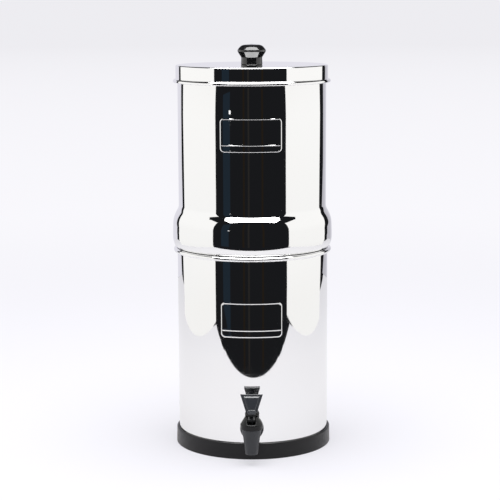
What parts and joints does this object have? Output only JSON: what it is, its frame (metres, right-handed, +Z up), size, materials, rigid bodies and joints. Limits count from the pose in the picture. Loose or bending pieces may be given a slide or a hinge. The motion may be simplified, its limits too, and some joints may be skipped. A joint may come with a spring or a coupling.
{
  "type": "gravity water filter",
  "caption": "Countertop gravity water filter: nested steel chambers, knobbed lid, carbon elements inside and a sprung lever tap at the foot.",
  "frame": {"origin": "centre of the base ring's underside, on the surface it stands on", "axes": "+Z up through the knob, -Y towards the tap, +X to the right seen from the tap's side"},
  "size_m": [0.1928, 0.2256, 0.485],
  "materials": {
    "polished_steel": "mirror-polished stainless steel",
    "fastener_steel": "plain stainless steel",
    "ring_rubber": "satin black rubber",
    "seal_rubber": "matt black rubber",
    "knob_plastic": "glossy black phenolic",
    "tap_plastic": "satin black moulded plastic",
    "element_plastic": "black moulded plastic",
    "carbon": "matt pressed carbon block"
  },
  "bodies": {
    "lower": {"base_ring": "ring_rubber", "lower_chamber": "polished_steel", "tap_body": "tap_plastic", "tap_outer_washer": "seal_rubber", "tap_inner_washer": "seal_rubber", "tap_nut": "tap_plastic", "tap_bonnet": "tap_plastic"},
    "valve": {"valve_stem": "tap_plastic", "seat_cup": "seal_rubber", "valve_spring": "fastener_steel"},
    "handle": {"tap_handle": "tap_plastic", "handle_pin": "fastener_steel"},
    "upper": {"upper_chamber": "polished_steel", "carbon_element_left": "carbon", "carbon_element_right": "carbon", "element_base_left": "element_plastic", "element_base_right": "element_plastic", "element_seals": "seal_rubber", "element_wing_nuts": "element_plastic"},
    "lid": {"lid_pan": "polished_steel", "lid_knob": "knob_plastic", "knob_washer": "fastener_steel", "knob_screw": "fastener_steel"}
  },
  "joints": [
    {"name": "upper_lift", "type": "slide", "parent": "lower", "child": "upper", "axis": [0, 0, 1], "range_m": [0, 0.12]},
    {"name": "lid_lift", "type": "slide", "parent": "upper", "child": "lid", "axis": [0, 0, 1], "range_m": [0, 0.12]},
    {"name": "valve_lift", "type": "slide", "parent": "lower", "child": "valve", "axis": [0, 0, 1], "range_m": [0, 0.00225], "stiffness_N_per_m": 300, "springref_m": -0.002, "deforming": ["valve_spring"]},
    {"name": "tap_lever", "type": "hinge", "parent": "valve", "child": "handle", "pos_m": [0, -0.116, 0.0552], "axis": [1, 0, 0], "range_deg": [0, 50]}
  ],
  "couplings": [
    {"joint": "tap_lever", "follows": "valve_lift", "rad_per_m": 387.85}
  ]
}
